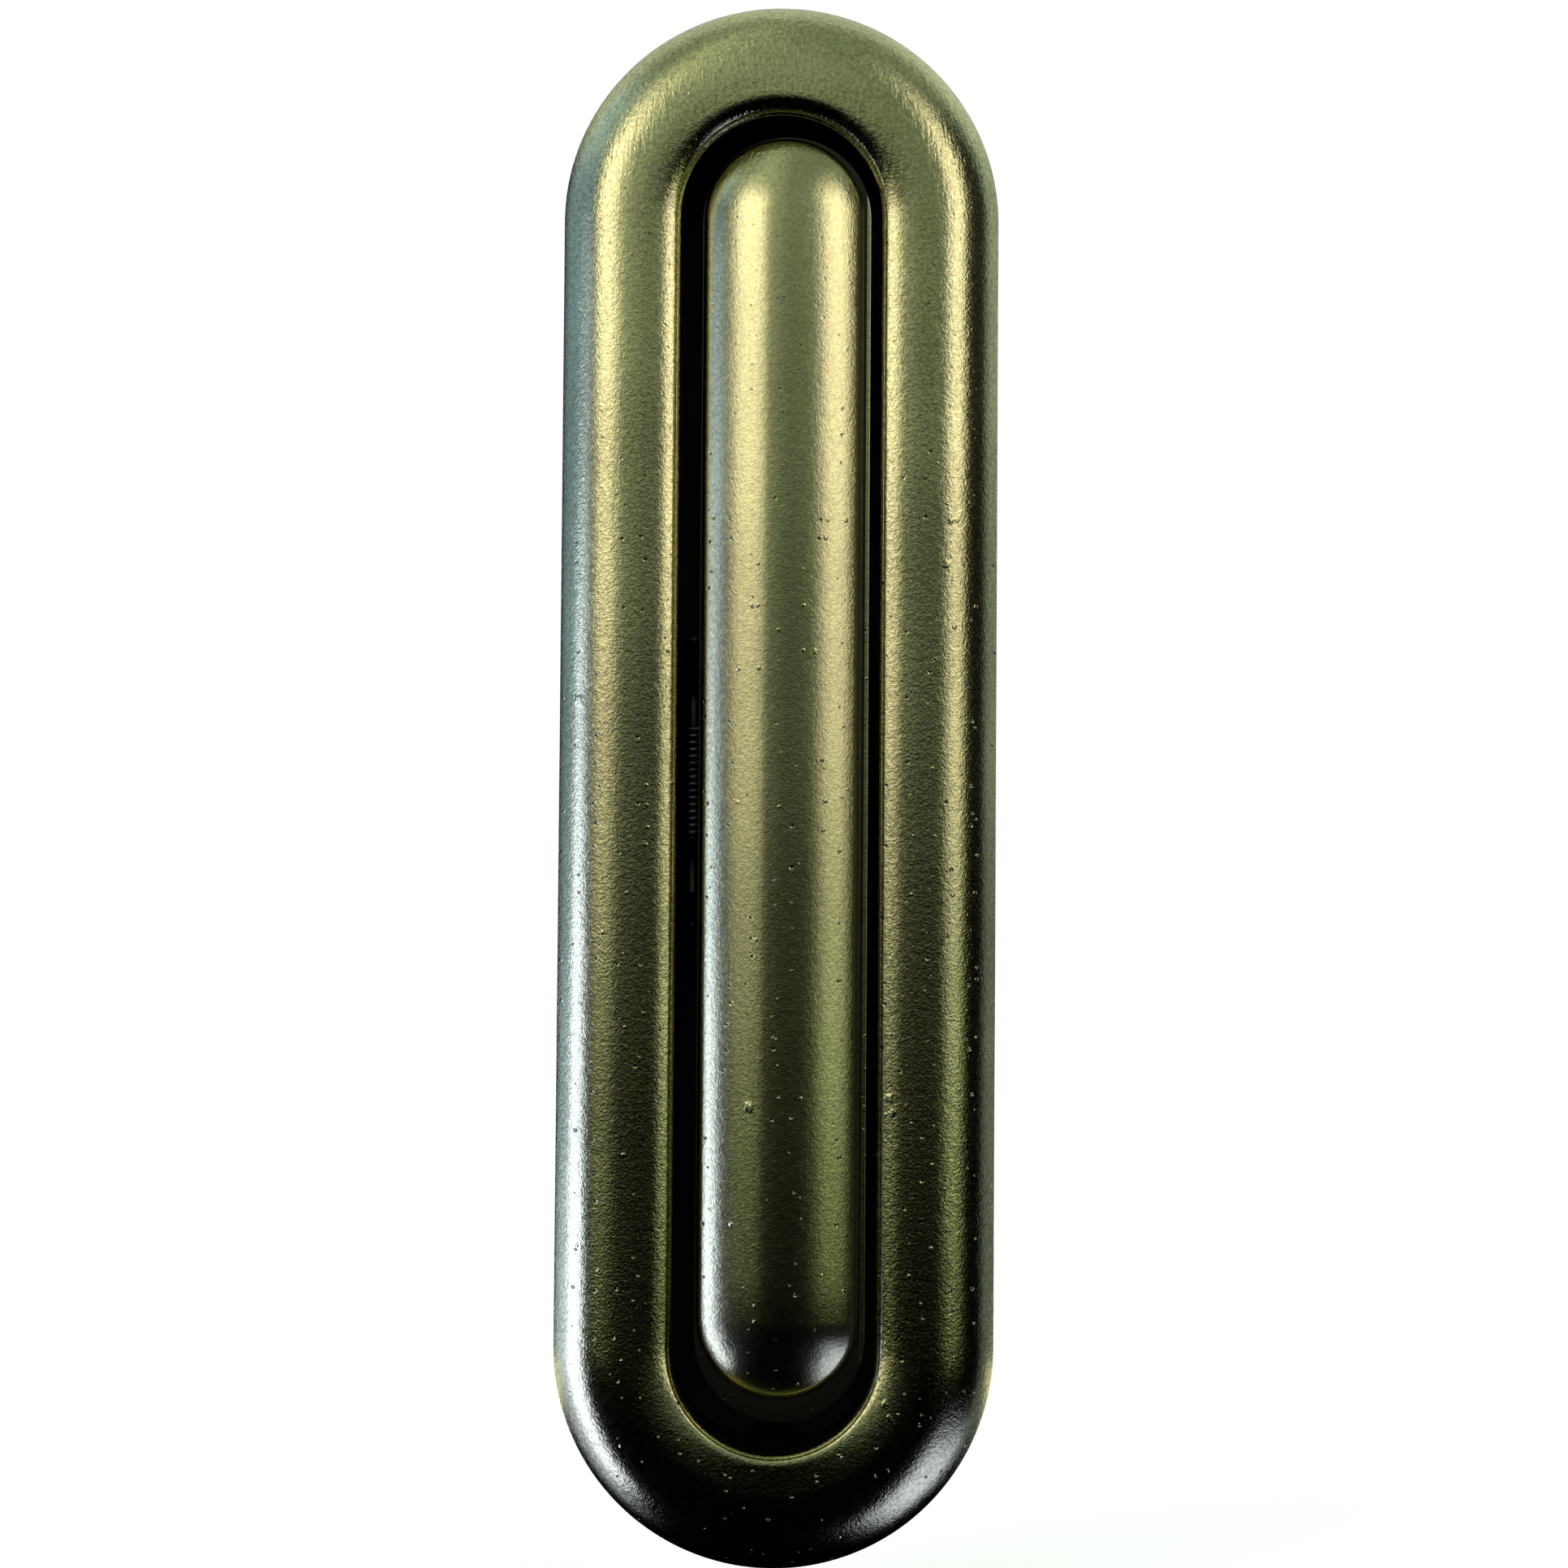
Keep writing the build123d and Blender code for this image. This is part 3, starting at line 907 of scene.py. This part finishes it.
BLACK = (0.0, 0.0, 0.0)
WHITE = (1.0, 1.0, 1.0)
COOL = (0.62, 1.0, 2.0)
PALE = (0.86, 1.0, 2.1)
DULL = (0.8, 1.0, 1.35)
CEILING = (0.82, 1.05, 1.0)
SPILL = (0.95, 1.0, 0.95)
BACK_LIGHT = (0.97, 1.0, 1.0)
STRIP_LOW = (0.70, 1.05, 0.66)
STRIP_HIGH = (1.07, 0.97, 1.07)

# Windows in degrees: azimuths (0 is the camera's side), elevations, softness of both, tint and level
WINDOWS = (
    ((-116.0, -70.0), (-14.0, 50.0), 4.0, 8.0, COOL, 0.42),
    ((-77.0, -69.0), (5.0, 11.0), 3.0, 4.0, PALE, 1.1),
    ((-88.0, -77.0), (-3.0, 5.0), 3.0, 3.0, PALE, 2.4),
    ((-91.0, -71.0), (-48.0, -2.0), 4.0, 4.0, PALE, 2.8),
    ((-114.0, -88.0), (-52.0, -4.0), 6.0, 6.0, PALE, 0.75),
    ((52.0, 104.0), (-60.0, -33.0), 8.0, 7.0, PALE, 1.2),
    ((96.0, 150.0), (-30.0, 50.0), 4.0, 8.0, DULL, 0.22),
)


def build_world():
    """A room that is dark below and lit above, with a tall strip of light at each side of the camera.

    Windows light the flanks. The camera sees plain white, and so do reflections that look past the part.
    """
    world = bpy.data.worlds.new("studio")
    bpy.context.scene.world = world
    world.use_nodes = True
    tree = world.node_tree
    tree.nodes.clear()
    way = add(tree, "ShaderNodeTexCoord").outputs["Generated"]
    x, y, z = add(tree, "ShaderNodeSeparateXYZ", {0: way}).outputs
    azimuth = calc(tree, "ARCTAN2", x, calc(tree, "MULTIPLY", y, -1.0))
    elevation = calc(tree, "ARCSINE", z)

    def turning(value, low, high):
        """A share that goes from 0 at one angle to 1 at another."""
        return ramp_between(tree, value, math.radians(low), math.radians(high))

    def band(value, low, high, soft):
        """A share that is 1 between two angles, with soft edges."""
        rise = turning(value, low - soft, low + soft)
        return product(tree, rise, turning(value, high + soft, high - soft))

    def side(low_from, low_to, high_from, high_to):
        """A share that rises between the first two azimuths and falls between the last two."""
        return product(tree, turning(azimuth, low_from, low_to), turning(azimuth, high_to, high_from))

    def growing(low, high, bend):
        """Nothing at a low elevation, full at a high one."""
        names = {"Value": elevation, "From Min": math.radians(low), "From Max": math.radians(high)}
        return calc(tree, "POWER", add(tree, "ShaderNodeMapRange", names).outputs[0], bend)

    def lit(share, colour, level):
        """Light of a colour at a level, where the share is 1."""
        return blend_colour(tree, share, rgba(BLACK), rgba(colour, level))

    def strip_light(share, level):
        """A strip of light, greenish low down and warm higher up."""
        warmth = turning(elevation, -6.0, 5.0)
        tint = blend_colour(tree, warmth, rgba(STRIP_LOW, level), rgba(STRIP_HIGH, level))
        return blend_colour(tree, share, rgba(BLACK), tint)

    def plus(a, b):
        """The sum of two lights."""
        made = add(tree, "ShaderNodeMix", data_type="RGBA", blend_type="ADD")
        made.inputs[0].default_value = 1.0
        tree.links.new(a, made.inputs[6])
        tree.links.new(b, made.inputs[7])
        return made.outputs[2]

    open_front = calc(tree, "MAXIMUM", side(-71.0, -63.0, 170.0, 180.0), turning(elevation, 20.0, 42.0))
    right_wall = product(tree, side(56.0, 62.0, 94.0, 100.0), band(elevation, -90.0, 42.0, 10.0))
    beside_wall = calc(tree, "MULTIPLY_ADD", right_wall, -0.9, 1.0)
    ceiling = product(tree, growing(-9.0, 12.0, 2.5), open_front, beside_wall)
    room = lit(ceiling, CEILING, 0.34)
    spill = product(tree, side(-64.0, -55.5, -40.0, 10.0), growing(-9.0, 12.0, 2.3))
    room = plus(room, lit(spill, SPILL, 0.32))

    over = turning(elevation, 58.0, 30.0)
    left_strip = product(tree, side(-64.0, -55.5, -45.0, -24.0), growing(-9.0, 9.5, 1.5), over)
    right_strip = product(tree, side(33.0, 47.0, 57.0, 63.0), growing(-10.5, 9.5, 1.1), over)
    room = plus(room, strip_light(left_strip, 1.3))
    room = plus(room, strip_light(right_strip, 1.6))

    for sides, heights, soft_side, soft_height, tint, level in WINDOWS:
        share = product(tree, band(azimuth, *sides, soft_side), band(elevation, *heights, soft_height))
        room = plus(room, lit(share, tint, level))
    behind = product(tree, ramp_between(tree, y, 0.0, 0.4), turning(elevation, 18.0, 45.0))
    room = plus(room, lit(behind, BACK_LIGHT, 0.4))

    rays = add(tree, "ShaderNodeLightPath").outputs
    past = product(tree, rays["Is Glossy Ray"], ramp_between(tree, y, 0.75, 0.95))
    white = calc(tree, "MAXIMUM", rays["Is Camera Ray"], rays["Is Transmission Ray"])
    white = calc(tree, "MAXIMUM", white, past)
    shown = add(tree, "ShaderNodeBackground", {"Color": rgba(WHITE), "Strength": 1.0})
    lighting = add(tree, "ShaderNodeBackground", {"Color": room, "Strength": 1.0})
    mixed = add(tree, "ShaderNodeMixShader", {0: white, 1: lighting.outputs[0], 2: shown.outputs[0]})
    add(tree, "ShaderNodeOutputWorld", {"Surface": mixed.outputs[0]})


build_floor()
build_world()
WARM = (1.0, 0.92, 0.98)
soft_box("left_soft_box", -47.0, 23.0, 1.0, 0.32, 0.46, 0.5, WARM)
soft_box("right_soft_box", 48.0, 23.0, 1.0, 0.28, 0.46, 0.5, WARM)

IMAGE = 1932
CAMERA_DISTANCE = 0.285
PIXELS_PER_METRE = 12745.0
SENSOR = 36.0
CAMERA_DROP = math.radians(2.2)
CAMERA_ROLL = math.radians(0.42)
camera_data = bpy.data.cameras.new("camera")
camera_data.sensor_width = SENSOR
camera_data.lens = SENSOR * PIXELS_PER_METRE * CAMERA_DISTANCE / IMAGE
camera_data.clip_start = 0.01
camera = bpy.data.objects.new("camera", camera_data)
camera_target = Vector((0.00062, 0.0, -0.00025))
camera_way = Vector((0.0, -math.cos(CAMERA_DROP), -math.sin(CAMERA_DROP)))
camera.location = camera_target + camera_way * CAMERA_DISTANCE
aim(camera, camera_target, CAMERA_ROLL)
bpy.context.scene.collection.objects.link(camera)
bpy.context.scene.camera = camera
bpy.context.scene.view_settings.view_transform = "Standard"
